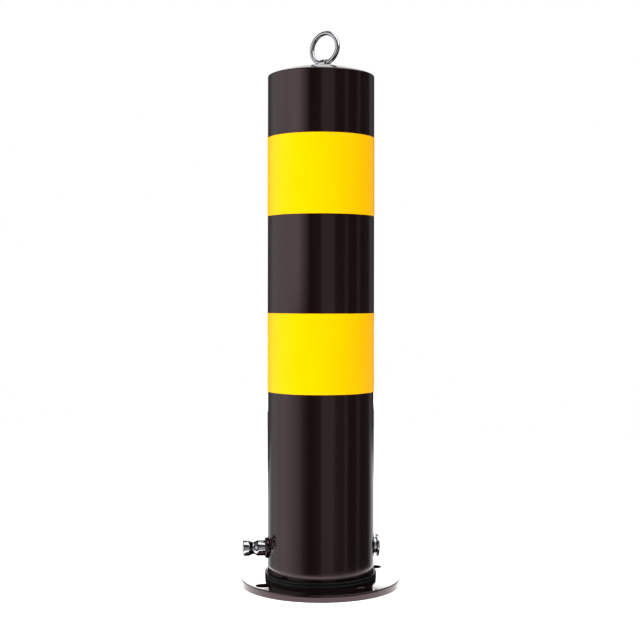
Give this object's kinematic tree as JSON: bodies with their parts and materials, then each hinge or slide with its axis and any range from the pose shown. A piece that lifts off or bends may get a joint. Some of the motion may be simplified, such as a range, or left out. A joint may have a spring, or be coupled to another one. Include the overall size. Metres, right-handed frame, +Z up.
{
  "type": "safety bollard",
  "caption": "Removable steel post with reflective bands, domed cap and lifting ring, held on a bolted spigot flange by a keyed sliding lock bar.",
  "frame": {"origin": "centre of the flange's underside, on the floor", "axes": "+Z up along the post's axis; +X along the lock bar, from the keyed barrel to the stop disc"},
  "size_m": [0.17, 0.17, 0.5923],
  "materials": {
    "black_paint": "gloss black-brown stoving enamel",
    "yellow_film": "smooth fluorescent yellow reflective film",
    "chrome_plate": "polished chrome plate",
    "zinc_steel": "bright zinc-plated steel",
    "brass": "turned brass",
    "black_rubber": "matt black rubber"
  },
  "bodies": {
    "base": {"base_flange": "black_paint", "spigot_tube": "black_paint", "seat_ring": "black_rubber"},
    "post": {"post_tube": "black_paint", "domed_cap": "black_paint", "lower_band": "yellow_film", "upper_band": "yellow_film", "left_bush": "black_paint", "right_bush": "black_paint", "bush_o_ring": "black_rubber", "ring_base": "chrome_plate", "ring_saddle": "chrome_plate", "ring_washer": "zinc_steel", "ring_spring_washer": "zinc_steel", "ring_nut": "zinc_steel"},
    "bar": {"lock_bar": "zinc_steel", "lock_barrel": "chrome_plate", "barrel_pin": "zinc_steel", "stop_disc": "chrome_plate", "disc_screw": "chrome_plate"},
    "key": {"key_plug": "brass", "wafer_1": "brass", "wafer_2": "brass", "wafer_3": "brass", "wafer_4": "brass", "lock_cam": "zinc_steel", "cam_screw": "zinc_steel"},
    "ring": {"lifting_ring": "chrome_plate"}
  },
  "joints": [
    {"name": "post_lift", "type": "slide", "parent": "base", "child": "post", "axis": [0, 0, 1], "range_m": [0, 0.12]},
    {"name": "bar_push", "type": "slide", "parent": "post", "child": "bar", "axis": [1, 0, 0], "range_m": [-0.0028, 0.01]},
    {"name": "key_turn", "type": "hinge", "parent": "bar", "child": "key", "pos_m": [-0.0835, 0.002, 0.0395], "axis": [1, 0, 0], "range_deg": [0, 180]},
    {"name": "ring_swing", "type": "hinge", "parent": "post", "child": "ring", "pos_m": [0.003, 0, 0.55695], "axis": [-0.7431, 0.6691, 0], "range_deg": [-93, 83]}
  ]
}
